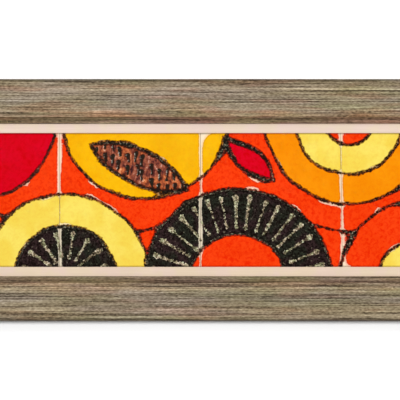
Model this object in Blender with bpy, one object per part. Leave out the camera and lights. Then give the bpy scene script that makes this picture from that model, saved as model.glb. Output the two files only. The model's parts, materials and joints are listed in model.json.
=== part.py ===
"""A framed row of four hand-painted ceramic tiles, made to hang flat against a wall.

Four six-inch tiles sit side by side on a backing board. A painted liner laps over their edges,
and a wide wooden frame moulding, mitred at the corners, laps over the liner.

Frame of the model: metres, +X along the row of tiles, +Z up, and the glazed faces look along -Y.
The back of the frame is the plane Y = 0, which lies on the wall. The origin is on that plane,
at the middle of the top rail's back face, where the panel is held.
"""

import math

import bmesh
import bpy
from mathutils import Matrix, Vector

# ---------------------------------------------------------------- driving dimensions, in metres

TILE_PITCH = 0.1524         # six inches from joint to joint
TILE_JOINT = 0.0004         # tiles laid edge to edge
TILE_COUNT = 4
TILE_THICKNESS = 0.0080
TILE_CORNER = 0.0012        # radius of a tile's upright corners
TILE_ARRIS = 0.0007         # easing of the edge around a tile's face
LEANING_JOINT = 3           # this joint is cut slightly out of square
JOINT_LEAN = 0.0012         # how far its ends stray from the upright, each way

LINER_OVERLAP = 0.0038      # how far the liner laps over the tiles
LINER_FACE = 0.0100         # width of liner that shows
LINER_LIP = 0.0030          # thickness of the liner where it laps over the tiles
LINER_ARRIS = 0.0008

RAIL_WIDTH = 0.0482         # frame moulding, outer edge to sight edge
RABBET_WIDTH = 0.0060       # how far the frame laps over the liner
RAIL_LIP = 0.0034           # thickness of the inner band above the liner
OUTER_ARRIS = 0.0022
INNER_ARRIS = 0.0010

BAND_WIDTH = 0.0069         # lower band along the sight edge
BAND_DROP = 0.0022          # step from the main face down to the band
BEAD_WIDTH = 0.0032         # narrow bead between the band and the groove
BEAD_ARRIS = 0.0007
GROOVE_WIDTH = 0.0010
GROOVE_DEPTH = 0.0008

BOARD_THICKNESS = 0.0050
BOARD_RECESS = 0.0025       # how far the board sits in from the wall

FIT = 0.0003                # gap between two pieces that meet
SAW_WASTE = 0.0100          # moulding left over each end before the mitre is cut
WELD = 0.000001
ARC_STEPS = 4

# ---------------------------------------------------------------- worked out from those

# Heights above the wall, from the back of the stack to its front.
BOARD_BACK = BOARD_RECESS
BOARD_FRONT = BOARD_BACK + BOARD_THICKNESS
TILE_BACK = BOARD_FRONT + FIT
TILE_FRONT = TILE_BACK + TILE_THICKNESS
LINER_BACK = TILE_BACK
LINER_UNDERSIDE = TILE_FRONT + FIT
LINER_FRONT = LINER_UNDERSIDE + LINER_LIP
RAIL_UNDERSIDE = LINER_FRONT + FIT
BAND_FRONT = RAIL_UNDERSIDE + RAIL_LIP
RAIL_FRONT = BAND_FRONT + BAND_DROP

# Distances inwards from the frame's outer edge.
RABBET_WALL = RAIL_WIDTH - RABBET_WIDTH
LINER_OUTER = RABBET_WALL + FIT
LINER_SIGHT = RAIL_WIDTH + LINER_FACE
TILE_EDGE = LINER_SIGHT - LINER_OVERLAP
LINER_RABBET_WALL = TILE_EDGE - FIT
BAND_STEP = RAIL_WIDTH - BAND_WIDTH
GROOVE_INNER = BAND_STEP - BEAD_WIDTH
GROOVE_OUTER = GROOVE_INNER - GROOVE_WIDTH

# Overall sizes.
TILE_HEIGHT = TILE_PITCH - TILE_JOINT
ROW_LENGTH = TILE_COUNT * TILE_PITCH - TILE_JOINT
OUTER_LENGTH = ROW_LENGTH + 2 * TILE_EDGE
OUTER_HEIGHT = TILE_HEIGHT + 2 * TILE_EDGE
CENTRE_Z = RABBET_WALL / 2 - OUTER_HEIGHT / 2

# Each side of the frame: its outer length, its outer edge's middle, and its turn about Y.
SIDES = {
    "top": (OUTER_LENGTH, Vector((0, 0, CENTRE_Z + OUTER_HEIGHT / 2)), 0),
    "right": (OUTER_HEIGHT, Vector((OUTER_LENGTH / 2, 0, CENTRE_Z)), 90),
    "bottom": (OUTER_LENGTH, Vector((0, 0, CENTRE_Z - OUTER_HEIGHT / 2)), 180),
    "left": (OUTER_HEIGHT, Vector((-OUTER_LENGTH / 2, 0, CENTRE_Z)), 270),
}

# Colour (linear RGB), roughness and metallic value of each finish.
FINISHES = {
    "weathered_wood": ((0.28, 0.22, 0.15), 0.75, 0.0),
    "painted_liner": ((0.84, 0.69, 0.56), 0.60, 0.0),
    "hardboard": ((0.24, 0.15, 0.08), 0.80, 0.0),
    "amber_glaze": ((0.97, 0.49, 0.01), 0.20, 0.0),
    "red_orange_glaze": ((0.95, 0.05, 0.01), 0.20, 0.0),
    "yellow_glaze": ((0.98, 0.78, 0.11), 0.20, 0.0),
    "crimson_glaze": ((0.72, 0.01, 0.01), 0.20, 0.0),
}
TILE_FINISHES = ["red_orange_glaze", "amber_glaze", "yellow_glaze", "crimson_glaze"]


def clear_scene():
    for old in list(bpy.data.objects):
        bpy.data.objects.remove(old, do_unlink=True)


def make_material(name):
    colour, roughness, metallic = FINISHES[name]
    material = bpy.data.materials.new(name)
    material.use_nodes = True
    shader = material.node_tree.nodes["Principled BSDF"]
    shader.inputs["Base Color"].default_value = (*colour, 1)
    shader.inputs["Roughness"].default_value = roughness
    shader.inputs["Metallic"].default_value = metallic
    return material


def arc(centre, radius, start_degrees, end_degrees):
    """Points along an arc, ends included, in the moulding's section."""
    points = []
    for step in range(ARC_STEPS + 1):
        share = step / ARC_STEPS
        angle = math.radians(start_degrees + share * (end_degrees - start_degrees))
        points.append(
            (centre[0] + radius * math.cos(angle), centre[1] + radius * math.sin(angle))
        )
    return points


def rail_section():
    """The frame moulding: (distance in from the outer edge, height above the wall)."""
    return [
        (0, 0),
        *arc((OUTER_ARRIS, RAIL_FRONT - OUTER_ARRIS), OUTER_ARRIS, 180, 90),
        (GROOVE_OUTER, RAIL_FRONT),
        (GROOVE_OUTER + GROOVE_WIDTH / 2, RAIL_FRONT - GROOVE_DEPTH),
        (GROOVE_INNER, RAIL_FRONT),
        *arc((BAND_STEP - BEAD_ARRIS, RAIL_FRONT - BEAD_ARRIS), BEAD_ARRIS, 90, 0),
        (BAND_STEP, BAND_FRONT),
        *arc((RAIL_WIDTH - INNER_ARRIS, BAND_FRONT - INNER_ARRIS), INNER_ARRIS, 90, 0),
        (RAIL_WIDTH, RAIL_UNDERSIDE),
        (RABBET_WALL, RAIL_UNDERSIDE),
        (RABBET_WALL, 0),
    ]


def liner_section():
    """The liner, in the same terms: a flat strip with a lip that laps over the tiles."""
    return [
        (LINER_OUTER, LINER_BACK),
        (LINER_OUTER, LINER_FRONT),
        *arc((LINER_SIGHT - LINER_ARRIS, LINER_FRONT - LINER_ARRIS), LINER_ARRIS, 90, 0),
        (LINER_SIGHT, LINER_UNDERSIDE),
        (LINER_RABBET_WALL, LINER_UNDERSIDE),
        (LINER_RABBET_WALL, LINER_BACK),
    ]


def extrude_section(name, section, length):
    """The section as a flat curve, extruded along Z and turned into a closed mesh."""
    outline = bpy.data.curves.new(name, "CURVE")
    outline.dimensions = "2D"
    outline.fill_mode = "BOTH"
    outline.extrude = length / 2
    spline = outline.splines.new("POLY")
    spline.points.add(len(section) - 1)
    for point, (inwards, height) in zip(spline.points, section):
        point.co = (inwards, height, 0, 1)
    spline.use_cyclic_u = True

    blank = bpy.data.objects.new(name + "_outline", outline)
    bpy.context.scene.collection.objects.link(blank)
    evaluated = blank.evaluated_get(bpy.context.evaluated_depsgraph_get())
    mesh = bpy.data.meshes.new_from_object(evaluated)
    bpy.data.objects.remove(blank, do_unlink=True)
    mesh.name = name
    return mesh


def cut_mitres(mesh, outer_length):
    """Saws both ends at 45 degrees and leaves half of the mitre's gap at each."""
    work = bmesh.new()
    work.from_mesh(mesh)
    bmesh.ops.remove_doubles(work, verts=work.verts, dist=WELD)
    for end in (-1, 1):
        normal = Vector((1, 0, end)).normalized()
        corner = Vector((0, 0, end * outer_length / 2)) - normal * FIT / 2
        cut = bmesh.ops.bisect_plane(
            work,
            geom=work.verts[:] + work.edges[:] + work.faces[:],
            dist=WELD,
            plane_co=corner,
            plane_no=normal,
            clear_outer=True,
        )
        rim = [item for item in cut["geom_cut"] if isinstance(item, bmesh.types.BMEdge)]
        bmesh.ops.edgeloop_fill(work, edges=rim)
    bmesh.ops.recalc_face_normals(work, faces=work.faces)
    work.to_mesh(mesh)
    work.free()


def make_side(name, side, section, material, collection):
    """One mitred length of moulding, turned and moved to its side of the panel."""
    outer_length, outer_middle, turn = SIDES[side]
    mesh = extrude_section(name, section, outer_length + 2 * SAW_WASTE)
    cut_mitres(mesh, outer_length)
    mesh.materials.append(material)
    piece = bpy.data.objects.new(name, mesh)
    # The section's first axis points inwards (down, on the top rail) and its second to the front.
    upright = Matrix(((0, 0, -1), (0, -1, 0), (-1, 0, 0)))
    piece.rotation_euler = (Matrix.Rotation(math.radians(turn), 3, "Y") @ upright).to_euler()
    piece.location = outer_middle
    collection.objects.link(piece)
    return piece


def ease_edges(mesh, chosen, radius, steps):
    """Rounds the edges that the test picks, on a mesh at its real size."""
    work = bmesh.new()
    work.from_mesh(mesh)
    bmesh.ops.bevel(
        work,
        geom=[edge for edge in work.edges if chosen(edge)],
        offset=radius,
        segments=steps,
        profile=0.5,
        affect="EDGES",
    )
    work.to_mesh(mesh)
    work.free()


def make_tile(number, material, collection):
    """One tile, its face eased and its corners rounded; two tiles share a leaning joint."""
    name = f"tile_{number}"
    width = TILE_PITCH - TILE_JOINT
    mesh = bpy.data.meshes.new(name)
    work = bmesh.new()
    bmesh.ops.create_cube(work, size=1)
    bmesh.ops.scale(work, vec=(width, TILE_THICKNESS, TILE_HEIGHT), verts=work.verts)
    for corner in work.verts:
        joint = number if corner.co.x > 0 else number - 1
        if joint == LEANING_JOINT:
            corner.co.x -= math.copysign(JOINT_LEAN, corner.co.z)
    work.to_mesh(mesh)
    work.free()

    def is_upright_corner(edge):
        start, end = (vertex.co for vertex in edge.verts)
        return abs(start.y - end.y) > TILE_THICKNESS / 2

    def is_face_edge(edge):
        return all(vertex.co.y < WELD - TILE_THICKNESS / 2 for vertex in edge.verts)

    ease_edges(mesh, is_upright_corner, TILE_CORNER, 3)
    ease_edges(mesh, is_face_edge, TILE_ARRIS, 2)
    mesh.materials.append(material)
    tile = bpy.data.objects.new(name, mesh)
    tile.location = (
        (number - (TILE_COUNT + 1) / 2) * TILE_PITCH,
        -(TILE_BACK + TILE_FRONT) / 2,
        CENTRE_Z,
    )
    collection.objects.link(tile)
    return tile


def make_backing_board(material, collection):
    """The board that the tiles are fixed to, let into the back of the frame."""
    mesh = bpy.data.meshes.new("backing_board")
    work = bmesh.new()
    bmesh.ops.create_cube(work, size=1)
    size = (OUTER_LENGTH - 2 * LINER_OUTER, BOARD_THICKNESS, OUTER_HEIGHT - 2 * LINER_OUTER)
    bmesh.ops.scale(work, vec=size, verts=work.verts)
    work.to_mesh(mesh)
    work.free()
    mesh.materials.append(material)
    board = bpy.data.objects.new("backing_board", mesh)
    board.location = (0, -(BOARD_BACK + BOARD_FRONT) / 2, CENTRE_Z)
    collection.objects.link(board)
    return board


def build():
    clear_scene()
    panel = bpy.data.collections.new("tile_panel")
    bpy.context.scene.collection.children.link(panel)
    materials = {name: make_material(name) for name in FINISHES}
    for side in SIDES:
        make_side(f"frame_rail_{side}", side, rail_section(), materials["weathered_wood"], panel)
        make_side(f"liner_{side}", side, liner_section(), materials["painted_liner"], panel)
    for number, finish in enumerate(TILE_FINISHES, start=1):
        make_tile(number, materials[finish], panel)
    make_backing_board(materials["hardboard"], panel)


build()
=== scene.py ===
# %% [markdown]
# # A framed row of hand-painted tiles
#
# Four glazed ceramic tiles sit side by side behind a painted liner, in a wide frame of weathered
# wood. This notebook gives each of those pieces its real surface.

# %% Load the frame
import json
import math

import bpy
import numpy as np
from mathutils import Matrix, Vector

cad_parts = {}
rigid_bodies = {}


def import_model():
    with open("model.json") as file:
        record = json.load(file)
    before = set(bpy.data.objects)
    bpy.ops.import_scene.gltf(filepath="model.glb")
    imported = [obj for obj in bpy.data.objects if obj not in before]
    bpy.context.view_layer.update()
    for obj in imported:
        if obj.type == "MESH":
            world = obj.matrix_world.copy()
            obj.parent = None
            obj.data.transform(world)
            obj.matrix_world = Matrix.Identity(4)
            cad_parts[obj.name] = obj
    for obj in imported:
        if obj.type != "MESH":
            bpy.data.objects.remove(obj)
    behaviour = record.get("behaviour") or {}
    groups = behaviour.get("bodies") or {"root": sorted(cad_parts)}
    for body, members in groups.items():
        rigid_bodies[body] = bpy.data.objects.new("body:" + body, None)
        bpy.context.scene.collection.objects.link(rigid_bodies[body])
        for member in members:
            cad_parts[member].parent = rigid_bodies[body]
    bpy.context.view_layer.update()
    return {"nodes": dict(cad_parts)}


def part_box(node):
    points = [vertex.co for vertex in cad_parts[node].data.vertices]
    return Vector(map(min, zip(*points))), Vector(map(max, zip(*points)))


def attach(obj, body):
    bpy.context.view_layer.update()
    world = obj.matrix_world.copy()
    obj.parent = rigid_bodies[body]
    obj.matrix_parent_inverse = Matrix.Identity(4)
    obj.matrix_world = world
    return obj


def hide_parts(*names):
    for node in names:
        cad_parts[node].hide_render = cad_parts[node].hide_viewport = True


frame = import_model()
MM = 0.001

# %% [markdown]
# ## Measures
#
# The panel's own measures are read from the frame, so the looks can't drift away from the
# construction. The painting is thought out in millimetres, from the middle of the row of tiles:
# `x` runs along the row and `z` runs up.

# %% Measures read from the frame
TILE_NAMES = ["tile_1", "tile_2", "tile_3", "tile_4"]
SIDES = ["top", "bottom", "left", "right"]
tile_low, tile_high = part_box("tile_2")
FACE_Y = tile_low.y
TILE_BACK_Y = tile_high.y
TILE_SIZE = tile_high.z - tile_low.z
CENTRE_Z = (tile_high.z + tile_low.z) / 2
JOINT_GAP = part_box("tile_2")[0].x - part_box("tile_1")[1].x
PITCH = TILE_SIZE + JOINT_GAP

RAIL_FRONT_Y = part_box("frame_rail_top")[0].y
RAIL_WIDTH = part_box("frame_rail_top")[1].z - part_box("frame_rail_top")[0].z
SIGHT_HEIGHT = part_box("liner_top")[0].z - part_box("liner_bottom")[1].z
print(f"a rail is {RAIL_WIDTH / MM:.1f} mm wide, and tiles are set {PITCH / MM:.1f} mm apart")

# %% [markdown]
# ## Camera
#
# The panel is seen square on, through a long lens, so its rails stay parallel. The view takes in
# the middle of the panel only: a little under three tiles' width, with both ends out of sight.

# %% Camera
TILES_IN_VIEW = 2.8369
LENS_MM = 200
SENSOR_MM = 36
SIDESTEP = -0.0006
view_distance = TILES_IN_VIEW * PITCH * LENS_MM / SENSOR_MM
bpy.ops.object.camera_add(
    location=(SIDESTEP, FACE_Y - view_distance, CENTRE_Z),
    rotation=(math.radians(90), 0, 0),
)
camera = bpy.context.object
camera.data.lens = LENS_MM
camera.data.sensor_width = SENSOR_MM
bpy.context.scene.camera = camera
print(f"camera {view_distance:.2f} m from the tiles")

# %% [markdown]
# ## Stage and light
#
# The panel hangs on a plain pale wall over a pale floor. The wall is there for the soft shadow
# under the frame. It is one-sided: seen from behind it isn't there, so the back of the panel can
# be looked at too. Wall and floor throw no shadow and no bounce light, and leave the light to the
# lamps. The floor is brighter than any real paint, so that it stays white far from the lamps.

# %% Wall and floor
WALL_GAP = 0.0004
WALL_SIZE, WALL_WHITE = 1.5, 0.965
FLOOR_SIZE, FLOOR_WHITE = 60.0, 2.6
FLOOR_DROP = 1.1


def deselect_all():
    for thing in bpy.context.view_layer.objects:
        thing.select_set(False)


def stage_material(name, light, one_sided):
    material = bpy.data.materials.new(name)
    material.use_nodes = True
    nodes, links = material.node_tree.nodes, material.node_tree.links
    paint = nodes["Principled BSDF"]
    paint.inputs["Base Color"].default_value = (light, light, light, 1)
    paint.inputs["Roughness"].default_value = 1.0
    paint.inputs["Specular IOR Level"].default_value = 0.0
    if one_sided:
        side = nodes.new("ShaderNodeNewGeometry")
        clear = nodes.new("ShaderNodeBsdfTransparent")
        choose = nodes.new("ShaderNodeMixShader")
        links.new(side.outputs["Backfacing"], choose.inputs["Fac"])
        links.new(paint.outputs["BSDF"], choose.inputs[1])
        links.new(clear.outputs["BSDF"], choose.inputs[2])
        links.new(choose.outputs["Shader"], nodes["Material Output"].inputs["Surface"])
    return material


deselect_all()
bpy.ops.mesh.primitive_plane_add(
    size=WALL_SIZE, location=(0, WALL_GAP, CENTRE_Z), rotation=(math.radians(90), 0, 0)
)
wall = bpy.context.object
wall.name = "stage_wall"
wall.data.materials.append(stage_material("wall_paint", WALL_WHITE, one_sided=True))
wall.visible_diffuse = wall.visible_glossy = False
wall.visible_transmission = wall.visible_shadow = False

deselect_all()
bpy.ops.mesh.primitive_plane_add(size=FLOOR_SIZE, location=(0, 0, CENTRE_Z - FLOOR_DROP))
floor = bpy.context.object
floor.name = "stage_floor"
floor.data.materials.append(stage_material("floor_paint", FLOOR_WHITE, one_sided=False))
floor.visible_diffuse = floor.visible_glossy = False
print("stage set")

# %% [markdown]
# Glaze is as glossy as glass, and a white studio mirrored in it would wash its colour out. One
# cure is to build dark cards around the panel. Simpler, and the same from every side, is to let
# the surroundings and the soft boxes light the panel without being mirrored in it. Only one
# small, warm glint lamp on the left is mirrored. It adds gloss and no other light, and shows
# where a raised edge of glaze faces it. The top light throws the soft shadow below the frame,
# and the back light is for looking at the back.

# %% World and lamps
AMBIENT, BACKDROP = 0.37, 1.0
LAMPS = [
    # name, place, width and height in metres, and watts
    ("key_light", (-0.15, -2.0, 0.062), 0.8, 0.30, 26.2),
    ("fill_light", (1.4, -1.7, 0.07), 0.9, 0.32, 6.9),
    ("top_light", (0.1, -1.7, 0.72), 1.0, 0.4, 5),
    ("back_light", (0.5, 1.8, 1.0), 1.2, 1.0, 22),
    ("glint_light", (-1.5, -1.75, -0.02), 0.30, 0.28, 11),
]
GLINT_COLOUR = (1.0, 0.90, 0.76)


def make_world():
    world = bpy.data.worlds.new("studio")
    bpy.context.scene.world = world
    world.use_nodes = True
    nodes, links = world.node_tree.nodes, world.node_tree.links
    sky = nodes["Background"]
    sky.inputs["Color"].default_value = (1, 1, 1, 1)
    ray = nodes.new("ShaderNodeLightPath")
    show = nodes.new("ShaderNodeMix")
    show.inputs["A"].default_value = AMBIENT
    show.inputs["B"].default_value = BACKDROP
    links.new(ray.outputs["Is Camera Ray"], show.inputs["Factor"])
    links.new(show.outputs["Result"], sky.inputs["Strength"])
    world.cycles_visibility.glossy = False


def soft_box(name, place, width, height, watts):
    """A soft box aimed at the middle of the panel, and not mirrored in it."""
    target = Vector((0, 0, CENTRE_Z))
    aim = (target - Vector(place)).to_track_quat("-Z", "Y")
    bpy.ops.object.light_add(type="AREA", location=place, rotation=aim.to_euler())
    lamp = bpy.context.object
    lamp.name = name
    lamp.data.shape = "RECTANGLE"
    lamp.data.size, lamp.data.size_y = width, height
    lamp.data.energy = watts
    lamp.visible_glossy = False


make_world()
for lamp in LAMPS:
    soft_box(*lamp)
glint = bpy.data.objects["glint_light"]
glint.visible_glossy, glint.visible_diffuse = True, False
glint.data.color = GLINT_COLOUR
bpy.context.scene.view_settings.view_transform = "Standard"
print(len(LAMPS), "lamps set")

# %% [markdown]
# ## Two small tools
#
# `soft_noise` is a smooth random field that can be stretched: wood grain is the same idea as
# glaze mottle, pulled out lengthwise. It shapes the meshes, so it works on numpy arrays.
#
# Materials could be wired by hand in the node editor. A script of such wires is long and hard to
# follow, so `Recipe` gives each kind of node a short method, and a finish reads like a list of
# what is mixed with what. Its textures read Object coordinates in metres, so a `size` or a
# divided scale below is the real size of a blot.

# %% Smooth noise for numpy arrays
LATTICE = 97


def soft_noise(a, b, size_a, size_b, seed):
    """Smooth noise from -1 to 1 whose blots measure size_a by size_b."""
    table = np.random.default_rng(seed).uniform(-1, 1, (LATTICE, LATTICE))
    u, v = a / size_a + LATTICE / 3, b / size_b + LATTICE / 3
    i, j = np.floor(u).astype(int), np.floor(v).astype(int)
    fu, fv = u - i, v - j
    fu, fv = fu * fu * (3 - 2 * fu), fv * fv * (3 - 2 * fv)
    i, j, ii, jj = i % LATTICE, j % LATTICE, (i + 1) % LATTICE, (j + 1) % LATTICE
    low = table[i, j] * (1 - fu) + table[ii, j] * fu
    high = table[i, jj] * (1 - fu) + table[ii, jj] * fu
    return low * (1 - fv) + high * fv


def smooth_step(low, high, value):
    share = np.clip((value - low) / (high - low), 0, 1)
    return share * share * (3 - 2 * share)


def smooth_min(a, b, reach):
    """The lesser of two distances, with the corner between them rounded off."""
    share = np.clip(0.5 + 0.5 * (b - a) / reach, 0, 1)
    return b * (1 - share) + a * share - reach * share * (1 - share)


# %% A material written as a recipe
class Recipe:
    """Builds a node material: each method adds a node and returns the socket it gives."""

    def __init__(self, name):
        self.material = bpy.data.materials.new(name)
        self.material.use_nodes = True
        self.nodes = self.material.node_tree.nodes
        self.links = self.material.node_tree.links
        self.shader = self.nodes["Principled BSDF"]

        self.place = self.nodes.new("ShaderNodeTexCoord").outputs["Object"]

    def feed(self, socket, value):
        if isinstance(value, bpy.types.NodeSocket):
            self.links.new(value, socket)
        elif isinstance(value, tuple) and len(socket.default_value) == 4:
            socket.default_value = (*value[:3], 1)
        else:
            socket.default_value = value

    def value(self, name):
        node = self.nodes.new("ShaderNodeAttribute")
        node.attribute_name = name
        return node.outputs["Fac"]

    def colour(self, name):
        node = self.nodes.new("ShaderNodeAttribute")
        node.attribute_name = name
        return node.outputs["Color"]

    def stretch(self, vector, scale, shift=(0, 0, 0)):
        node = self.nodes.new("ShaderNodeMapping")
        self.feed(node.inputs["Vector"], vector)
        node.inputs["Scale"].default_value = scale
        node.inputs["Location"].default_value = shift
        return node.outputs["Vector"]

    def shifted(self, shift):
        """Another part of the same texture, so that two textures don't fall in step."""
        return self.stretch(self.place, (1, 1, 1), shift)

    def noise(self, vector, scale, detail=2.0, rough=0.5, warp=0.0):
        node = self.nodes.new("ShaderNodeTexNoise")
        self.feed(node.inputs["Vector"], vector)
        node.inputs["Scale"].default_value = scale
        node.inputs["Detail"].default_value = detail
        node.inputs["Roughness"].default_value = rough
        node.inputs["Distortion"].default_value = warp
        return node.outputs["Fac"]

    def streaks(self, along, length, width, shift=(0, 0, 0), detail=2.0, rough=0.5, warp=0.0):
        """Noise drawn out along one axis, into streaks of a length and a width in metres."""
        scale = [1 / width] * 3
        scale[along] = 1 / length
        vector = self.stretch(self.place, tuple(scale), shift)
        return self.noise(vector, 1.0, detail, rough, warp)

    def grains(self, vector, size):
        """Grains like sand, each with a value of its own from 0 to 1."""
        node = self.nodes.new("ShaderNodeTexVoronoi")
        self.feed(node.inputs["Vector"], vector)
        node.inputs["Scale"].default_value = 1 / size
        split = self.nodes.new("ShaderNodeSeparateColor")
        self.links.new(node.outputs["Color"], split.inputs["Color"])
        return split.outputs["Red"]

    def math(self, operation, *numbers):
        node = self.nodes.new("ShaderNodeMath")
        node.operation = operation
        for socket, number in zip(node.inputs, numbers):
            self.feed(socket, number)
        return node.outputs["Value"]

    def plus(self, a, b):
        return self.math("ADD", a, b)

    def minus(self, a, b):
        return self.math("SUBTRACT", a, b)

    def times(self, a, b):
        return self.math("MULTIPLY", a, b)

    def larger(self, a, b):
        return self.math("MAXIMUM", a, b)

    def total(self, *parts):
        """The sum of some values, each counted by its weight."""
        result = 0.0
        for value, weight in parts:
            result = self.math("MULTIPLY_ADD", value, weight, result)
        return result

    def ease(self, value, low, high, start=0.0, end=1.0):
        """Turns a value between low and high into one between start and end, softly."""
        node = self.nodes.new("ShaderNodeMapRange")
        node.interpolation_type = "SMOOTHSTEP"
        for socket, number in zip(node.inputs, (value, low, high, start, end)):
            self.feed(socket, number)
        return node.outputs["Result"]

    def blend(self, share, a, b, how="MIX"):
        node = self.nodes.new("ShaderNodeMix")
        node.data_type = "RGBA"
        node.blend_type = how
        self.feed(node.inputs["Factor"], share)
        self.feed(node.inputs[6], a)
        self.feed(node.inputs[7], b)
        return node.outputs[2]

    def tinted(self, colour, tint, share=1.0):
        """A colour multiplied by a tint, fully or only by a share."""
        return self.blend(share, colour, tint, "MULTIPLY")

    def ramp(self, share, stops):
        node = self.nodes.new("ShaderNodeValToRGB")
        self.feed(node.inputs["Fac"], share)
        band = node.color_ramp.elements
        while len(band) < len(stops):
            band.new(0.5)
        for element, (position, tint) in zip(band, stops):
            element.position = position
            element.color = (*tint, 1)
        return node.outputs["Color"]

    def bump(self, height, strength, distance):
        node = self.nodes.new("ShaderNodeBump")
        node.inputs["Strength"].default_value = strength
        node.inputs["Distance"].default_value = distance
        self.feed(node.inputs["Height"], height)
        return node.outputs["Normal"]

    def finish(self, **sockets):
        for name, value in sockets.items():
            self.feed(self.shader.inputs[name.replace("_", " ").title()], value)
        return self.material


# the lamps light a square-on face by this much, so colours are divided by it to look as meant
LIGHT_LEVEL = 1.13


def paint(red, green, blue):
    """A colour as a painter reads it, 0 to 255 a channel, turned into the light it reflects."""
    share = np.array([red, green, blue]) / 255
    light = np.where(share <= 0.04045, share / 12.92, ((share + 0.055) / 1.055) ** 2.4)
    return tuple(float(part) / LIGHT_LEVEL for part in light)


# %% [markdown]
# ## Frame rails
#
# A driftwood finish starts with a wire brush, which digs the soft wood out between the hard
# growth lines. Stain then settles in the grooves and is rubbed off the ridges. So the grooves are
# real here: the rail from the frame is cut into fine strips across and short lengths along, and
# each point is sunk by stretched noise. The same noise is kept on the points as a value that the
# stain reads, so that the dark always lies in the grooves. Cutting with bisect and subdivide
# keeps the mitres and the section exact, where a remesh would round them.

# %% Handling meshes
STRIP = 0.0005
LENGTH_STEP = 0.0022
TOUCH = 0.0001
MERGE_DISTANCE = 0.000002
FLAT_ANGLE = math.radians(0.5)


def activate(piece):
    deselect_all()
    piece.select_set(True)
    bpy.context.view_layer.objects.active = piece


def copy_of_node(node, name):
    """A merged copy of a piece of the frame, with its flat faces whole again."""
    mesh = frame["nodes"][node].data.copy()
    mesh.materials.clear()
    piece = bpy.data.objects.new(name, mesh)
    bpy.context.scene.collection.objects.link(piece)
    activate(piece)
    bpy.ops.object.mode_set(mode="EDIT")
    bpy.ops.mesh.select_all(action="SELECT")
    bpy.ops.mesh.remove_doubles(threshold=MERGE_DISTANCE)
    bpy.ops.mesh.dissolve_limited(angle_limit=FLAT_ANGLE)
    bpy.ops.mesh.normals_make_consistent(inside=False)
    bpy.ops.object.mode_set(mode="OBJECT")
    return piece


def pick_faces(piece, test):
    """Selects the faces that pass a test and goes into edit mode."""
    bpy.context.tool_settings.mesh_select_mode = (False, False, True)
    for part in (piece.data.vertices, piece.data.edges):
        part.foreach_set("select", np.zeros(len(part), bool))
    for face in piece.data.polygons:
        face.select = test(face)
    bpy.ops.object.mode_set(mode="EDIT")


def pick_edges(piece, test):
    """Selects the edges that pass a test and goes into edit mode."""
    bpy.context.tool_settings.mesh_select_mode = (False, True, False)
    points = piece.data.vertices
    for part in (points, piece.data.polygons):
        part.foreach_set("select", np.zeros(len(part), bool))
    for edge in piece.data.edges:
        start, end = (points[number].co for number in edge.vertices)
        edge.select = test(start, end)
    bpy.ops.object.mode_set(mode="EDIT")


def point_array(mesh):
    flat = np.empty(len(mesh.vertices) * 3)
    mesh.vertices.foreach_get("co", flat)
    return flat.reshape(-1, 3)


def normal_array(mesh):
    flat = np.empty(len(mesh.vertices) * 3)
    mesh.vertex_normals.foreach_get("vector", flat)
    return flat.reshape(-1, 3)


def store_value(mesh, name, values):
    layer = mesh.attributes.new(name, "FLOAT", "POINT")
    layer.data.foreach_set("value", np.asarray(values, np.float32))


def store_colour(mesh, name, values):
    layer = mesh.attributes.new(name, "FLOAT_COLOR", "POINT")
    full = np.ones((len(values), 4), np.float32)
    full[:, :3] = values
    layer.data.foreach_set("color", full.ravel())


# %% Cut a rail finely
def slice_across(piece, axis, start, end, test):
    """Cuts the faces that pass a test into strips, with planes square to an axis."""
    count = max(1, round(abs(end - start) / STRIP))
    normal = Vector((0, 0, 0))
    normal[axis] = 1
    for cut in range(1, count):
        place = normal * (start + (end - start) * cut / count)
        pick_faces(piece, test)
        bpy.ops.mesh.bisect(plane_co=place, plane_no=normal)
        bpy.ops.object.mode_set(mode="OBJECT")


def cut_rail(side):
    """The rail of one side in fine strips; along and across are the numbers of its axes."""
    node = f"frame_rail_{side}"
    low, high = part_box(node)
    along, across = (0, 2) if side in ("top", "bottom") else (2, 0)
    rail = copy_of_node(node, f"brushed_rail_{side}")
    outer = high[across] if side in ("top", "right") else low[across]
    slice_across(rail, across, low[across], high[across], lambda face: face.normal.y < -0.5)
    slice_across(rail, 1, low.y, 0, lambda face: abs(face.center[across] - outer) < TOUCH)
    half = (high[along] - low[along]) / 2
    pick_edges(rail, lambda start, end: abs(start[along] - end[along]) > half)
    bpy.ops.mesh.subdivide(number_cuts=round(2 * half / LENGTH_STEP) - 1)
    bpy.ops.object.mode_set(mode="OBJECT")
    return rail, along, across, outer


# %% Sink the grain
GRAIN_LAYERS = [
    # length and width of a streak in mm, and its share
    (1200, 1.2, 0.34),
    (420, 1.0, 0.34),
    (170, 0.9, 0.32),
    (60, 0.85, 0.28),
    (16, 0.75, 0.20),
]
GROWTH_SPACING, GROWTH_SHARE, GROWTH_WANDER = 2.5, 0.25, 0.5
# how deep a groove and a pore are brushed, in mm
GROOVE, PORE = 0.10, 0.16
PORE_DARKNESS = 0.36
# points within this many mm of the outer edge lie on the rail's outer side
OUTER_SIDE = 0.4


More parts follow.
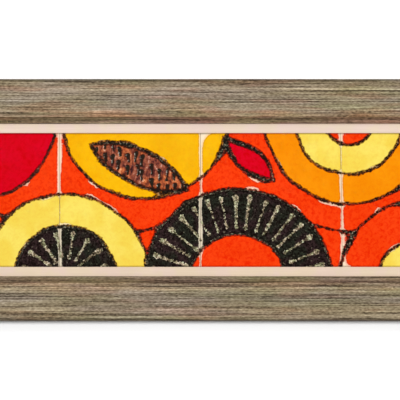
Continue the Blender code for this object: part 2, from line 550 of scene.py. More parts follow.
def sink_grain(rail, along, across, outer, seed, contrast):
    """Brushes a rail: sinks its points into grooves and keeps what the stain needs, in mm."""
    mesh = rail.data
    points, normals = point_array(mesh), normal_array(mesh)
    inwards = np.abs(points[:, across] - outer) / MM
    depth = (points[:, 1] - RAIL_FRONT_Y) / MM
    # the grain runs on round the edge, where depth takes over from the distance inwards
    wide = inwards - np.where(inwards < OUTER_SIDE, depth, 0)
    lengthwise = points[:, along] / MM
    wide = wide + GROWTH_WANDER * soft_noise(lengthwise, wide, 260, 30, seed)
    streaks = sum(
        share * soft_noise(lengthwise, wide, length, width, seed + number)
        for number, (length, width, share) in enumerate(GRAIN_LAYERS)
    )
    # yearly growth makes lines at a nearly even spacing
    drift = soft_noise(lengthwise, wide, 420, 7, seed + 8)
    streaks = streaks + GROWTH_SHARE * np.cos(2 * np.pi * wide / GROWTH_SPACING + 5 * drift)
    streaks = contrast * streaks
    pores = smooth_step(0.45, 0.80, -soft_noise(lengthwise, wide, 90, 0.75, seed + 9))
    # the brush reaches the front and the outer side, and stops short of the sight edge and back
    brushed = smooth_step(7.0, 5.0, depth) + (inwards < OUTER_SIDE) * smooth_step(25, 22, depth)
    brushed = np.clip(brushed, 0, 1) * (normals[:, 1] < 0.3)
    sink = (GROOVE * (streaks - 0.6) - PORE * pores) * MM * brushed
    normals[:, along] = 0
    points += normals * sink[:, None]
    mesh.vertices.foreach_set("co", points.ravel())
    store_value(mesh, "streak", 0.5 + 0.5 * streaks - PORE_DARKNESS * pores)
    store_value(mesh, "inwards", inwards)
    store_value(mesh, "depth", depth)
    mesh.update()


# %% [markdown]
# Over the stain lies a ramp that follows the moulding's section: darker at the outer edge, in the
# groove and at the step beside the liner, and paler on the bead where hands rub it. The dark is
# partly dirt and partly painted shade of the rounded edge, the groove and the step. The rails
# aren't alike: each rail's share of handling says how much of its older colours the rubbing
# brought out, reddish wood beside the bead and maroon and olive stain on the step. Where a rail
# has less of it, its step is painted lighter and greyer: painted light, as on the bottom rail's
# step, which faces up into the light.

# %% Weathered wood
RAIL_MM = RAIL_WIDTH / MM
PROFILE_WEAR_AND_SHADE = [
    # distance in from the outer edge in mm, and how much of the stain's light is kept
    (0.0, (0.74, 0.73, 0.71)),
    (0.3, (0.46, 0.45, 0.43)),
    (1.9, (0.46, 0.45, 0.43)),
    (3.2, (0.98, 0.98, 0.97)),
    (9.0, (1.04, 1.03, 1.02)),
    (11.0, (1.14, 1.13, 1.12)),
    (14.0, (1.02, 1.02, 1.02)),
    (24.0, (0.87, 0.89, 0.90)),
    (30.0, (0.96, 0.97, 0.97)),
    (34.8, (1.12, 1.10, 1.07)),
    (37.2, (1.08, 1.03, 0.98)),
    (37.9, (0.66, 0.60, 0.54)),
    (38.7, (1.18, 1.06, 0.98)),
    (40.3, (1.20, 1.08, 1.00)),
    (41.0, (0.82, 0.71, 0.61)),
    (41.9, (0.47, 0.40, 0.35)),
    (43.3, (0.66, 0.59, 0.53)),
    (44.6, (0.57, 0.51, 0.46)),
    (45.8, (0.84, 0.81, 0.77)),
    (46.9, (0.64, 0.60, 0.56)),
    (48.2, (0.86, 0.84, 0.82)),
]
# a ramp's colours stay under 1, so the wear and painted shade are scaled down, and this lifts them
# again
SECTION_RAMP_SCALE = 1.25
SECTION_RAMP_LIFT = (1.25, 1.26, 1.28)
STAIN_TONES = [
    (0.08, paint(78, 64, 48)),
    (0.26, paint(116, 100, 79)),
    (0.42, paint(139, 122, 99)),
    (0.58, paint(155, 138, 114)),
    (0.76, paint(173, 155, 130)),
    (0.94, paint(200, 183, 158)),
]
RAW_WOOD = [
    (0.30, paint(150, 116, 78)),
    (0.50, paint(193, 160, 118)),
    (0.70, paint(214, 186, 146)),
]
# sizes of a patch, along and across the rail, in metres
TINGE_PATCH = (0.085, 0.010)
WIDE_PATCH = (0.110, 0.013)


def worn_and_shaded(recipe, stain, inwards):
    """The stain with the wear and painted shade that follow the moulding's section."""
    stops = []
    for distance, kept in PROFILE_WEAR_AND_SHADE:
        stops.append((distance / RAIL_MM, tuple(part / SECTION_RAMP_SCALE for part in kept)))
    wear_and_shade = recipe.ramp(recipe.math("DIVIDE", inwards, RAIL_MM), stops)
    return recipe.tinted(recipe.tinted(stain, wear_and_shade), SECTION_RAMP_LIFT)


def weathered_wood(name, along):
    recipe = Recipe(name)
    handled_and_shaded = recipe.value("handled_and_shaded")
    # nothing was rubbed quite straight: the worn lines wander by a millimetre or less
    stray = recipe.streaks(along, 0.030, 0.040, detail=3.0, rough=0.6)
    stray = recipe.times(recipe.minus(stray, 0.5), 4.5)
    inwards = recipe.plus(recipe.value("inwards"), stray)

    # stain, dark in the grooves and broken by fine grain and flecks
    fine_grain = recipe.streaks(along, 0.070, 0.0012, rough=0.6, warp=0.2)
    flecks = recipe.streaks(along, 0.0033, 0.0011, detail=1.0)
    tone = recipe.total((recipe.value("streak"), 0.72), (fine_grain, 1.3), (flecks, 1.0))
    stain = recipe.ramp(recipe.minus(tone, 1.017), STAIN_TONES)

    # greenish, pinkish and grey zones
    green = recipe.streaks(along, *TINGE_PATCH, (7, 3, 5))
    green = recipe.ease(green, 0.50, 0.68, 0.0, 0.75)
    stain = recipe.tinted(stain, (0.92, 1.0, 0.86), green)
    pink = recipe.streaks(along, 0.0654, 0.00769, (1.3, 11.7, 2.6))
    half_handled = recipe.plus(recipe.times(handled_and_shaded, 0.5), 0.5)
    pink = recipe.times(recipe.ease(pink, 0.50, 0.66), half_handled)
    stain = recipe.tinted(stain, (1.0, 0.85, 0.82), pink)
    chill = recipe.streaks(along, *WIDE_PATCH, (4, 8, 6))
    chill = recipe.blend(recipe.ease(chill, 0.36, 0.64), (0.985, 1.0, 0.90), (0.965, 0.975, 1.06))
    stain = recipe.tinted(stain, chill)

    # reddish wood shows through beside the bead
    rubbed = recipe.streaks(along, *WIDE_PATCH, (2, 1, 9))
    rubbed = recipe.times(recipe.ease(rubbed, 0.45, 0.60, 0.0, 0.9), handled_and_shaded)
    near_bead = recipe.times(recipe.ease(inwards, 32, 36), recipe.ease(inwards, 43, 40))
    stain = recipe.tinted(stain, (1.12, 0.86, 0.74), recipe.times(rubbed, near_bead))

    # a few nicks across the grain, where pale wood shows
    nicks = recipe.streaks(2 - along, 0.0080, 0.0010, (2, 2, 2), 1.0, 0.4, 0.3)
    stain = recipe.blend(recipe.ease(nicks, 0.74, 0.82, 0.0, 0.7), stain, paint(208, 186, 148))

    # the step kept its older stain, maroon in places and olive in others
    older = recipe.streaks(along, *WIDE_PATCH, (6, 2, 3))
    older = recipe.blend(recipe.ease(older, 0.42, 0.58), (1.08, 0.85, 0.95), (0.99, 0.99, 0.80))
    on_step = recipe.times(recipe.ease(inwards, 40.6, 41.4), handled_and_shaded)
    stain = recipe.tinted(stain, older, on_step)
    # painted light: a less handled rail's step is painted lighter and greyer, as a step facing up
    # into the light
    lit_step = recipe.times(recipe.ease(inwards, 35, 38.5), recipe.minus(1.0, handled_and_shaded))
    stain = recipe.tinted(stain, (1.05, 1.12, 1.25), lit_step)
    stain = worn_and_shaded(recipe, stain, inwards)

    # the back was never stained
    raw = recipe.ramp(recipe.streaks(along, 0.0425, 0.005, (0, 0, 0), 4.0, 0.6, 0.5), RAW_WOOD)
    unstained = recipe.ease(recipe.value("depth"), 24.3, 24.9)
    surface = recipe.blend(unstained, stain, raw)
    height = recipe.total((fine_grain, 0.7), (flecks, 1.0))
    fuzz = recipe.bump(height, 0.25, 0.0003)
    return recipe.finish(base_color=surface, roughness=0.70, normal=fuzz)


# the top and bottom seeds were picked out of 30,000, for where their broad streaks fall
RAIL_SEEDS = {"top": 10329, "bottom": 19546, "left": 53, "right": 71}
# how strongly the grain shows in each rail's wood
CONTRAST = {"top": 1.04, "bottom": 0.86, "left": 1.0, "right": 0.95}
# hands and sun reach the top rail most; a lower share also paints a rail's step lighter and
# greyer: painted light, as on the bottom rail's step, which faces up into the light
HANDLED_AND_SHADED = {"top": 1.0, "bottom": 0.4, "left": 0.7, "right": 0.7}
woods = {0: weathered_wood("wood_level", 0), 2: weathered_wood("wood_upright", 2)}
for side in SIDES:
    rail, along, across, outer = cut_rail(side)
    sink_grain(rail, along, across, outer, RAIL_SEEDS[side], CONTRAST[side])
    store_value(rail.data, "handled_and_shaded", np.full(len(rail.data.vertices), HANDLED_AND_SHADED[side]))
    rail.data.materials.append(woods[along])
    activate(rail)
    bpy.ops.object.shade_smooth_by_angle(angle=math.radians(40))
    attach(rail, "root")
    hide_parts(f"frame_rail_{side}")
    print(rail.name, "has", len(rail.data.polygons), "faces")

# %% [markdown]
# ## Liner and backing board
#
# The liner is a flat strip of wood with two coats of warm white paint, brushed on lengthwise. The
# brush leaves faint ridges. The paint has aged a little pink in places and a little yellow in
# others. The bottom strip is painted a little darker and yellower, and the side strips half as
# much: painted shade. The strips are already the right shape in the frame, so they keep their
# meshes and only get this paint.
#
# The board behind is hardboard. Its smooth face looks at the tiles, and its back still shows the
# weave of the wire screen that it was pressed on, which is two crossed sets of waves.

# %% Brushed paint and hardboard
# painted shade: how much darker and yellower each strip of the liner is painted
LINER_SHADE = {"top": 0.0, "bottom": 0.5, "left": 0.25, "right": 0.25}
SCREEN_WAVES = 170


def brushed_paint(name, along, shade_share):
    recipe = Recipe(name)
    ridges = recipe.streaks(along, 0.060, 0.0012, detail=3.0, rough=0.55)
    cloud = recipe.noise(recipe.place, 1 / 0.040)
    tint = recipe.blend(recipe.ease(cloud, 0.35, 0.65), paint(233, 211, 194), paint(238, 216, 197))
    tint = recipe.blend(recipe.ease(ridges, 0.62, 0.42, 0.0, 0.6), tint, paint(229, 206, 188))
    aged = recipe.noise(recipe.shifted((3, 3, 3)), 1 / 0.018)
    aged = recipe.blend(recipe.ease(aged, 0.38, 0.62), (1.0, 0.984, 1.03), (0.996, 1.012, 0.955))
    # painted shade, by each strip's share
    tint = recipe.tinted(recipe.tinted(tint, aged), (0.94, 0.92, 0.82), shade_share)
    brush_marks = recipe.bump(ridges, 0.3, 0.0003)
    return recipe.finish(base_color=tint, roughness=0.48, normal=brush_marks)


def hardboard(name):
    recipe = Recipe(name)
    fibres = recipe.noise(recipe.place, 1 / 0.0030, 5.0, 0.7, 0.6)
    cloud = recipe.noise(recipe.place, 1 / 0.050)
    tint = recipe.blend(recipe.ease(fibres, 0.35, 0.68), paint(98, 68, 44), paint(142, 104, 70))
    tint = recipe.blend(recipe.ease(cloud, 0.4, 0.65, 0.0, 0.5), tint, paint(118, 80, 50))
    waves = []
    for direction in ("X", "Z"):
        wave = recipe.nodes.new("ShaderNodeTexWave")
        wave.bands_direction = direction
        wave.inputs["Scale"].default_value = SCREEN_WAVES
        wave.inputs["Distortion"].default_value = 0.4
        recipe.feed(wave.inputs["Vector"], recipe.place)
        waves.append(wave.outputs["Fac"])
    height = recipe.larger(*waves)
    # painted shade: the hollows of the weave are painted darker
    tint = recipe.blend(recipe.ease(height, 0.9, 0.3, 0.0, 0.35), tint, paint(70, 46, 30))
    weave = recipe.bump(height, 0.6, 0.0005)
    return recipe.finish(base_color=tint, roughness=0.82, normal=weave)


for side in SIDES:
    liner = frame["nodes"][f"liner_{side}"]
    liner.data.materials.clear()
    along = 0 if side in ("top", "bottom") else 2
    liner.data.materials.append(brushed_paint(f"liner_paint_{side}", along, LINER_SHADE[side]))
board = frame["nodes"]["backing_board"]
board.data.materials.clear()
board.data.materials.append(hardboard("hardboard"))
print("liner painted, board pressed")

# %% [markdown]
# ## The painting
#
# A tile like this is drawn in resist, a waxy dark line that wet glaze won't cross, and the fields
# between the lines are then flooded with coloured glazes. The design is laid out over the whole
# row at once, as a few plain shapes: rolling ground, suns, a leaf and a seed pod. Each shape is a
# function that tells how far a point lies outside it. Later shapes cover earlier ones, and the
# distance to the nearest outline that still shows is where the resist goes.

# %% Shapes as distances, in mm
def disc(centre, radius):
    return lambda x, z: np.hypot(x - centre[0], z - centre[1]) - radius


def leaf(tip, end, half_width):
    """A leaf is where two equal discs overlap, from its tip to its end."""
    half = math.dist(tip, end) / 2
    radius = (half * half + half_width * half_width) / (2 * half_width)
    along_x, along_z = (end[0] - tip[0]) / (2 * half), (end[1] - tip[1]) / (2 * half)

    def outside(x, z):
        x, z = x - (tip[0] + end[0]) / 2, z - (tip[1] + end[1]) / 2
        lengthwise = x * along_x + z * along_z
        sideways = np.abs(z * along_x - x * along_z)
        return np.hypot(lengthwise, sideways + radius - half_width) - radius

    return outside


def below_hills(height, rise, start, length):
    return lambda x, z: z - height - rise * np.sin((x - start) / length)


def overlap(first, second):
    return lambda x, z: np.maximum(first(x, z), second(x, z))


# %% The layout
GLAZES = {
    "orange_red": paint(246, 61, 12),
    "pale_yellow": paint(248, 221, 92),
    "amber": paint(248, 183, 12),
    "orange": paint(248, 145, 8),
    "crimson": paint(216, 5, 28),
    "black": paint(46, 38, 35),
    "brown": paint(152, 74, 52),
}
# the yellow and orange glazes are even; the others mottle in full
MOTTLING = {"pale_yellow": 0.13, "amber": 0.15, "orange": 0.20}
# where the suns stand and how the leaf lies: x and z in mm
PALE_SUN, AMBER_SUN, BLACK_SUN = (-146, -82), (-60, 92), (40, -90)
RINGED_SUN, LOW_SUN = (160, 86), (240, -92)
LEAF_TIP, LEAF_END = (-118, 60), (-14, 10)
BROWN_LEAF = leaf(LEAF_TIP, LEAF_END, 20)
FIELDS = [
    ("orange_red", below_hills(-26, 13, -30, 48)),
    ("crimson", disc((-240, 86), 84)),
    ("pale_yellow", disc(PALE_SUN, 89)),
    ("orange_red", disc(LOW_SUN, 92)),
    ("amber", disc(AMBER_SUN, 91)),
    ("orange", disc(RINGED_SUN, 90)),
    ("black", disc(BLACK_SUN, 102)),
    ("orange_red", overlap(disc(PALE_SUN, 89), disc(AMBER_SUN, 91))),
    ("crimson", overlap(disc(RINGED_SUN, 90), disc(LOW_SUN, 92))),
    ("black", disc(PALE_SUN, 54)),
    ("pale_yellow", disc(RINGED_SUN, 58)),
    ("orange_red", disc(RINGED_SUN, 27)),
    ("orange_red", disc(BLACK_SUN, 53)),
    ("brown", BROWN_LEAF),
    ("pale_yellow", disc(LOW_SUN, 50)),
    ("crimson", leaf((26, 66), (78, 22), 12)),
]
HAND_WOBBLE = 1.6
WEB = 6.0


def unsteady(x, z):
    """The places a steady hand would have meant, for points on the painted face."""
    shift_x = soft_noise(x, z, 26, 26, 1) + 0.25 * soft_noise(x, z, 7, 7, 3)
    shift_z = soft_noise(x, z, 26, 26, 2) + 0.25 * soft_noise(x, z, 7, 7, 4)
    return x + HAND_WOBBLE * shift_x, z + HAND_WOBBLE * shift_z


def lay_out(x, z):
    """The glaze number of every point, and its distance from the middle of the resist line.
    Where two lines meet, the resist fills the corner between them like a web."""
    meant_x, meant_z = unsteady(x, z)
    glaze = np.zeros(x.shape, int)
    to_line = np.full(x.shape, 99.0)
    for name, shape in FIELDS:
        outside = shape(meant_x, meant_z)
        covered = outside < 0
        to_line = np.where(covered, -outside, smooth_min(to_line, outside, WEB))
        glaze[covered] = list(GLAZES).index(name)
    return glaze, to_line


# %% [markdown]
# ## Trailed slip
#
# On the black suns pale slip was trailed from a bulb, in strokes like rays: each drops a blob,
# drags into a beaded tail and ends in a small foot. On the brown leaf the same tool left dark
# drips, in two short rows. Each stroke is again a distance, this time how far inside it a point
# lies.

# %% Strokes
def stroke_depth(x, z, start, end, widths, seed):
    """How far inside a stroke each point lies, in mm, with bulb, tail and foot half-widths."""
    bulb, tail, foot = widths
    run_x, run_z = end[0] - start[0], end[1] - start[1]
    length = math.hypot(run_x, run_z)
    x = x + 0.7 * soft_noise(x, z, 9, 9, seed)
    share = ((x - start[0]) * run_x + (z - start[1]) * run_z) / length**2
    share = np.clip(share, 0, 1)
    off = np.hypot(x - start[0] - share * run_x, z - start[1] - share * run_z)
    travelled = share * length
    width = tail + (bulb - tail) * np.exp(-((travelled / (1.6 * bulb)) ** 2))
    width = width + (foot - tail) * np.exp(-(((length - travelled) / (1.4 * foot)) ** 2))
    beads = 0.60 * soft_noise(x, z, 2.6, 2.2, seed + 1)
    beads = beads + 0.40 * soft_noise(x, z, 1.1, 1.1, seed + 2)
    return width + beads * (0.5 + 0.5 * share) - off


def fan_of_strokes(centre, outer, inner, first, last, count, seed):
    """Strokes that run in towards the centre of a disc, like rays, each a little different."""
    dice = np.random.default_rng(seed)
    strokes = []
    for number in range(count):
        angle = math.radians(first + (last - first) * number / (count - 1) + dice.uniform(-1, 1))
        reach = [outer + dice.uniform(-1.5, 0.5), inner + dice.uniform(-2, 3)]
        ends = [(centre[0] + r * math.cos(angle), centre[1] + r * math.sin(angle)) for r in reach]
        widths = (dice.uniform(2.5, 3.3), dice.uniform(0.9, 1.9), dice.uniform(1.7, 2.7))
        strokes.append((*ends, widths))
    return strokes


def leaf_drips(count, spacing, seed):
    """Short dark drips, one above another, that hang straight down inside the brown leaf."""
    dice = np.random.default_rng(seed)
    drips = []
    for number in range(count):
        x = LEAF_TIP[0] + 6 + spacing * number + dice.uniform(-1.2, 1.2)
        ridge = np.interp(x, (LEAF_TIP[0], LEAF_END[0]), (LEAF_TIP[1], LEAF_END[1]))
        top = ridge + dice.uniform(7, 14)
        for _ in range(2):
            drop = dice.uniform(6, 11)
            widths = (dice.uniform(1.9, 2.6), dice.uniform(0.9, 1.4), dice.uniform(1.0, 1.5))
            drips.append(((x, top), (x + dice.uniform(-1.2, 1.2), top - drop), widths))
            x = x + dice.uniform(-1.5, 1.5)
            top = top - drop - dice.uniform(5, 7)
    return drips


SLIP_STROKES = fan_of_strokes(BLACK_SUN, 94, 59, 12, 170, count=17, seed=21)
SLIP_STROKES += fan_of_strokes(PALE_SUN, 46, 20, 14, 168, count=8, seed=22)
DRIPS = leaf_drips(count=12, spacing=8.4, seed=23)


def deepest(x, z, strokes, seed):
    depths = [stroke_depth(x, z, *stroke, seed + n) for n, stroke in enumerate(strokes)]
    return np.max(depths, axis=0)


# %% [markdown]
# ## Tiles
#
# A tile starts as a fine grid, because its relief is small and lies everywhere: glaze stands
# about a quarter of a millimetre proud of the clay with a rounded shore, the resist is a gritty
# furrow, and the slip is a thick bead. The rim of the grid is drawn out and back in two steps for
# the worn edge, and then down to the back, where it is closed. The finished square is seated over
# its own place in the row, which also gives the joint that was cut out of true its lean. Glaze
# creeps a little over a tile's sides, so the tiles nearly touch.

# %% Model one square tile
TILE_ARRIS = 0.0005
TILE_CORNER = 0.0012
TILE_CELLS = 250
GLAZE_CREEP = 0.00008
HALF_TILE = TILE_SIZE / 2


def draw_out(outwards, back, half):
    """Extrudes the selected rim by a step outwards and back."""
    bpy.ops.mesh.extrude_region_move()
    bpy.ops.transform.translate(value=(0, back, 0))
    grow = (half + outwards) / half
    bpy.ops.transform.resize(value=(grow, 1, grow), center_override=(0, 0, 0))
    return half + outwards


def square_tile(name):
    deselect_all()
    flat_half = HALF_TILE - TILE_ARRIS
    bpy.ops.mesh.primitive_grid_add(
        x_subdivisions=TILE_CELLS,
        y_subdivisions=TILE_CELLS,
        size=2 * flat_half,
        location=(0, FACE_Y, 0),
        rotation=(math.radians(90), 0, 0),
    )
    tile = bpy.context.object
    tile.name = name
    bpy.ops.object.transform_apply(location=True, rotation=True, scale=True)
    bpy.context.tool_settings.mesh_select_mode = (False, True, False)
    bpy.ops.object.mode_set(mode="EDIT")
    bpy.ops.mesh.select_all(action="SELECT")
    bpy.ops.mesh.region_to_loop()
    slant = TILE_ARRIS * math.sin(math.radians(45))
    half = draw_out(slant, TILE_ARRIS - slant, flat_half)
    half = draw_out(TILE_ARRIS - slant, slant, half)
    draw_out(0, TILE_BACK_Y - FACE_Y - TILE_ARRIS, half)
    bpy.ops.mesh.edge_face_add()
    bpy.ops.mesh.select_all(action="SELECT")
    bpy.ops.mesh.normals_make_consistent(inside=False)
    bpy.ops.object.mode_set(mode="OBJECT")
    return tile


# %% Seat a square tile in the row
def side_line(node, sign):
    """A tile's straight side: its x at mid-height, and how far x moves for each metre up."""
    points = point_array(frame["nodes"][node].data)
    upper, lower = points[points[:, 2] > CENTRE_Z], points[points[:, 2] < CENTRE_Z]
    top, bottom = (half[np.argmax(sign * half[:, 0])] for half in (upper, lower))
    slope = (top[0] - bottom[0]) / (top[2] - bottom[2])
    return top[0] + slope * (CENTRE_Z - top[2]), slope


def seat(points, node):
    """Rounds the corners of a square tile's points and moves them to the tile's own outline."""
    across, up = points[:, 0].copy(), points[:, 2].copy()
    core = HALF_TILE - TILE_CORNER
    over_x, over_z = np.maximum(np.abs(across) - core, 0), np.maximum(np.abs(up) - core, 0)
    shrink = TILE_CORNER / np.maximum(np.hypot(over_x, over_z), TILE_CORNER)
    across = np.sign(across) * (np.minimum(np.abs(across), core) + over_x * shrink)
    up = np.sign(up) * (np.minimum(np.abs(up), core) + over_z * shrink)
    (left, left_slope), (right, right_slope) = side_line(node, -1), side_line(node, 1)
    share = (across / HALF_TILE + 1) / 2
    left, right = left - GLAZE_CREEP, right + GLAZE_CREEP
    points[:, 0] = (left + left_slope * up) * (1 - share) + (right + right_slope * up) * share
    points[:, 2] = CENTRE_Z + up
    return across / MM, up / MM


# %% Raise the glaze
SIGHT_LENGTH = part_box("liner_right")[0].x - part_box("liner_left")[1].x
LIP_X, LIP_Z = SIGHT_LENGTH / 2 / MM, SIGHT_HEIGHT / 2 / MM
HALF_MM = HALF_TILE / MM
# in mm: how high glaze, slip and drips stand, and the bounds of the relief under the slip
GLAZE_RISE, SLIP_RISE, DRIP_RISE = 0.24, 0.85, 0.80
RELIEF_LOW, RELIEF_HIGH = -0.15, 0.26
LINE_HALF, BLACK_LINE_EXTRA, BROWN_LINE_EXTRA = 1.50, 0.5, 1.3
BARE_EDGE = 1.6
DRIP_INSET = 2.5
# how wide the glaze curves back from each tile's four corners, in mm:
# upper left, upper right, lower left, lower right
CORNER_CURVES = [(5, 8, 5, 5), (10, 5, 5, 8), (22, 5, 5, 5), (8, 8, 20, 8)]


def swollen(inside, height, shore):
    """The height of a pool or a bead, rounded off over its shore."""
    return height * (1 - np.exp(-np.maximum(inside, 0) / shore))


def glaze_tile(tile, node, number):
    """Moves a square tile into place, and lays resist, glaze and slip over it."""
    mesh = tile.data
    points = point_array(mesh)
    front = points[:, 1] < FACE_Y + TILE_ARRIS + 0.1 * MM
    across, up = seat(points, node)
    x, z = points[:, 0] / MM, (points[:, 2] - CENTRE_Z) / MM
    glaze, to_line = lay_out(x, z)
    names = np.array(list(GLAZES))[glaze]
    black, brown = names == "black", names == "brown"

    # the resist swells where the tool paused
    swell = smooth_step(0.25, 0.75, soft_noise(x, z, 34, 34, 5))
    line_half = LINE_HALF + BLACK_LINE_EXTRA * black + BROWN_LINE_EXTRA * brown + 1.7 * swell
    line_half += 0.45 * soft_noise(x, z, 9, 9, 6) + 0.65 * soft_noise(x, z, 2.6, 2.6, 7)
    off_line = to_line - line_half

    # glaze stops short of the line and of the tile's edge, with its corners rounded off
    shrunk = soft_noise(x + 50.0 * glaze, z, 22, 22, 8)
    halo = -0.3 + 2.2 * smooth_step(0.55, 0.95, shrunk)
    halo = np.where(black, -0.6, halo)
    margin = BARE_EDGE + 1.1 * soft_noise(x + 90.0 * number, z, 30, 30, 9)
    margin = margin + 0.25 * soft_noise(x, z, 4, 4, 10)
    margin = np.where(names == "pale_yellow", margin - 1.3, margin)
    curve = np.array(CORNER_CURVES[number])[2 * (up < 0) + (across > 0)]
    rim = smooth_min(HALF_MM - np.abs(across), HALF_MM - np.abs(up), curve)
    pool = smooth_min(off_line - halo, rim - margin, 4.5)

    slip = deepest(x, z, SLIP_STROKES, 40)
    drip = deepest(x, z, DRIPS, 90)
    drip = np.minimum(drip, -BROWN_LEAF(*unsteady(x, z)) - DRIP_INSET)
    drip = np.where(brown, drip, -5)

    # glaze wrinkles a little, brown glaze more, and the furrow of the resist is gritty
    grit = soft_noise(x, z, 1.1, 1.1, 12) + 0.7 * soft_noise(x, z, 0.7, 0.7, 13)
    inland = smooth_step(0, 1, pool)
    relief = swollen(pool, GLAZE_RISE, 0.55) + 0.016 * soft_noise(x, z, 3.2, 3.2, 14) * inland
    relief += np.where(off_line < 0.2, 0.05 * grit - 0.04, 0)
    relief += brown * 0.05 * (grit + soft_noise(x, z, 3, 5, 15)) * inland
    relief = np.clip(relief, RELIEF_LOW, RELIEF_HIGH)

    # slip and drips stand highest, but not under the liner
    beads = swollen(slip, SLIP_RISE, 0.9) + 0.07 * grit * (slip > 0.2)
    beads += swollen(drip, DRIP_RISE, 0.8)
    free = smooth_step(LIP_Z + 0.6, LIP_Z - 0.8, np.abs(z))
    free = free * smooth_step(LIP_X + 0.6, LIP_X - 0.8, np.abs(x))
    relief += beads * free
    relief *= smooth_step(0.6, 1.6, HALF_MM - np.maximum(np.abs(across), np.abs(up)))
    points[:, 1] -= np.where(front, relief, 0) * MM
    mesh.vertices.foreach_set("co", points.ravel())

    store_colour(mesh, "glaze", np.array(list(GLAZES.values()))[glaze])
    store_value(mesh, "pool", np.where(front, pool, -9))
    store_value(mesh, "off_line", np.where(front, off_line, 9))
    store_value(mesh, "slip", np.where(front, slip, -9))
    store_value(mesh, "drip", drip)
    store_value(mesh, "black", black)
    store_value(mesh, "brown", brown)
    store_value(mesh, "mottling", [MOTTLING.get(name, 1.0) for name in names])
    store_value(mesh, "from_lip", np.minimum(LIP_Z - np.abs(z), LIP_X - np.abs(x)))
    mesh.update()


# %% [markdown]
# The glazes, the resist and the slip are one material, because they meet inside every tile. The
# points of a tile say which glaze lies there, and how far inside its pool, its line or its stroke
# they are. `GlazeRecipe` makes each finish by itself, and `glazed_clay` then lays them one over
# another, with ragged and sandy borders.

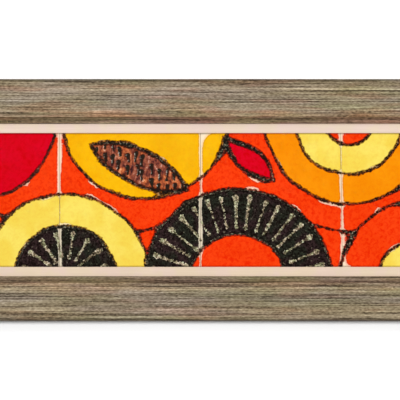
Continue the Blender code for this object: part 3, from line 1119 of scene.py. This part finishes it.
# %% Glazed clay
class GlazeRecipe(Recipe):
    """A recipe with the textures that all finishes on a tile share."""

    def __init__(self, name):
        super().__init__(name)
        self.glaze, self.pool = self.colour("glaze"), self.value("pool")
        self.off_line, self.slip, self.drip = map(self.value, ("off_line", "slip", "drip"))
        self.black, self.brown = self.value("black"), self.value("brown")
        self.mottle = self.noise(self.place, 1 / 0.0040, 4.0, 0.62, 0.8)
        self.cloud = self.noise(self.place, 1 / 0.030, 2.0, 0.5, 0.5)
        self.patch = self.noise(self.place, 1 / 0.0070, 3.0, 0.6, 0.6)
        self.specks = self.noise(self.shifted((3, 1, 4)), 1 / 0.0026, 4.0, 0.75)
        self.ragged = self.minus(self.noise(self.place, 1 / 0.0024, 4.0, 0.75), 0.5)
        sand, dust = self.grains(self.place, 0.0016), self.grains(self.shifted((2, 5, 1)), 0.0010)
        self.grain = self.total((sand, 0.6), (dust, 0.4))
        self.loose = self.minus(self.grain, 0.5)

    def bare_clay(self):
        """Clay under a thin clear film, tinted where glaze has crept over it."""
        clay = self.blend(self.cloud, paint(244, 228, 198), paint(251, 236, 208))
        crept = self.ease(self.pool, -2.2, 0.0, 0.06, 0.46)
        return self.blend(crept, clay, self.glaze)

    def bright_glaze(self):
        """A pool of glaze: clouded, mottled, and darker at its shore."""
        deep = self.tinted(self.glaze, (0.91, 0.46, 0.20))
        light = self.tinted(self.glaze, (1.03, 1.19, 1.30))
        melt = self.blend(self.ease(self.mottle, 0.30, 0.60), deep, light)
        melt = self.blend(self.value("mottling"), self.glaze, melt)
        veil = self.blend(self.ease(self.cloud, 0.36, 0.62), (0.97, 0.92, 0.77), (1.0, 1.03, 1.16))
        melt = self.tinted(melt, veil)
        shore = self.ease(self.pool, 1.3, 0.2, 0.0, 0.75)
        return self.blend(shore, melt, self.tinted(self.glaze, (0.74, 0.66, 0.62)))

    def black_glaze(self):
        """Black with a green and a purple cast, and a few pale grains."""
        cast = self.blend(self.ease(self.cloud, 0.42, 0.58), paint(41, 44, 35), paint(56, 40, 41))
        coarse = self.total((self.mottle, 0.65), (self.grain, 0.35))
        night = self.blend(self.ease(coarse, 0.34, 0.66), paint(20, 13, 10), cast)
        return self.blend(self.ease(self.grain, 0.90, 0.97, 0.0, 0.7), night, paint(132, 126, 104))

    def brown_glaze(self):
        """Brown that ran down the tile, and broke into rusty and pinkish patches."""
        runs = self.stretch(self.place, (1.2, 1, 0.5), (5, 2, 2))
        runs = self.noise(runs, 1 / 0.0062, 3.0, 0.6, 0.6)
        rust = [
            (0.39, paint(66, 34, 32)),
            (0.45, paint(116, 58, 46)),
            (0.51, paint(160, 84, 56)),
            (0.57, paint(194, 114, 76)),
            (0.62, paint(234, 182, 150)),
        ]
        rust = self.ramp(self.total((runs, 0.6), (self.specks, 0.4)), rust)
        cast = self.ease(self.cloud, 0.42, 0.58)
        return self.tinted(rust, self.blend(cast, (0.76, 0.74, 0.92), (1.20, 1.06, 0.82)))

    def resist(self):
        """Soot with pale grains where the line is thick, and rusty wax where it thins out."""
        soot = [
            (0.36, paint(12, 8, 6)),
            (0.56, paint(34, 25, 19)),
            (0.74, paint(80, 73, 56)),
            (0.90, paint(146, 142, 118)),
        ]
        soot = self.ramp(self.grain, soot)
        burnt = self.tinted(self.glaze, (0.44, 0.26, 0.16))
        wax = self.blend(self.ease(self.grain, 0.40, 0.85), paint(28, 16, 7), burnt)
        thick = self.larger(self.ease(self.off_line, -1.1, -2.1), self.black)
        return self.blend(thick, wax, soot)

    def dark_drips(self):
        """Near black, reddish in places and olive in others."""
        tar = self.blend(self.ease(self.patch, 0.40, 0.60), paint(40, 12, 10), paint(26, 26, 18))
        return self.blend(self.mottle, tar, paint(50, 42, 34))

    def pale_slip(self):
        """Chalky slip; its tails broke up into clots, and its thick beads stayed darker."""
        chalk = [
            (0.20, paint(56, 50, 38)),
            (0.38, paint(116, 108, 84)),
            (0.54, paint(166, 158, 128)),
            (0.70, paint(204, 197, 166)),
            (0.88, paint(242, 238, 218)),
        ]
        chalk = self.ramp(self.grain, chalk)
        cast = self.ease(self.patch, 0.42, 0.58)
        chalk = self.tinted(chalk, self.blend(cast, (1.07, 0.95, 0.92), (0.91, 1.0, 0.86)))
        clots = self.ease(self.noise(self.place, 1 / 0.0032, 2.0, 0.6, 0.3), 0.40, 0.60)
        clots = self.blend(clots, (0.34, 0.29, 0.25), (1.06, 1.05, 1.04))
        chalk = self.tinted(chalk, clots, self.ease(self.slip, 2.1, 1.5))
        heaped = self.ease(self.slip, 1.5, 2.3, 0.0, 0.6)
        return self.tinted(chalk, (0.50, 0.50, 0.42), heaped)


def glazed_clay(name):
    tile = GlazeRecipe(name)
    # the glazes flood the clay between the lines
    melt = tile.blend(tile.black, tile.bright_glaze(), tile.black_glaze())
    melt = tile.blend(tile.brown, melt, tile.brown_glaze())
    wet = tile.total((tile.pool, 1.0), (tile.ragged, 0.8), (tile.loose, 0.9))
    look = tile.blend(tile.ease(wet, -0.12, 0.12), tile.bare_clay(), melt)

    # the resist, which scorches the glaze beside it
    in_line = tile.total((tile.off_line, 1.0), (tile.ragged, 2.0), (tile.loose, 1.2))
    scorched = tile.ease(in_line, 1.0, 0.1, 0.0, 0.75)
    look = tile.tinted(look, (0.46, 0.27, 0.14), scorched)
    lined = tile.ease(in_line, 0.16, -0.16)
    look = tile.blend(lined, look, tile.resist())

    # the drips, which soak into the brown around them
    dripped = tile.plus(tile.drip, tile.ragged)
    look = tile.tinted(look, (0.42, 0.36, 0.36), tile.ease(dripped, -1.3, 0.0, 0.0, 0.6))
    look = tile.blend(tile.ease(dripped, -0.15, 0.15), look, tile.dark_drips())

    # the pale slip, with sandy borders
    trailed = tile.total((tile.slip, 1.0), (tile.ragged, 2.6), (tile.loose, 1.68))
    trailed = tile.ease(trailed, 0.10, 0.55)
    look = tile.blend(trailed, look, tile.pale_slip())

    # painted shade: a dark band on the tiles along the liner's edge, where the liner laps over
    # them
    lip_shadow = tile.ease(tile.plus(tile.value("from_lip"), tile.ragged), 2.2, 0.2, 0.0, 0.85)
    look = tile.tinted(look, (0.52, 0.50, 0.50), lip_shadow)

    # wet glaze fires glossy; clay, resist and slip stay rougher
    gritty = tile.larger(lined, trailed)
    rough = tile.ease(wet, -0.2, 0.2, 0.40, 0.05)
    rough = tile.larger(rough, tile.times(gritty, 0.38))
    height = tile.plus(tile.times(tile.mottle, 0.25), tile.times(gritty, tile.specks))
    dimples = tile.bump(height, 0.5, 0.0004)
    tile.shader.inputs["Specular IOR Level"].default_value = 0.4
    return tile.finish(base_color=look, roughness=rough, normal=dimples)


glaze_material = glazed_clay("glazed_clay")
blank = square_tile("blank_tile")
for number, node in enumerate(TILE_NAMES):
    tile = bpy.data.objects.new(f"painted_{node}", blank.data.copy())
    bpy.context.scene.collection.objects.link(tile)
    glaze_tile(tile, node, number)
    tile.data.materials.append(glaze_material)
    activate(tile)
    bpy.ops.object.shade_smooth_by_angle(angle=math.radians(50))
    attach(tile, "root")
    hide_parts(node)
    print(tile.name, "has", len(tile.data.polygons), "faces")
bpy.data.objects.remove(blank)
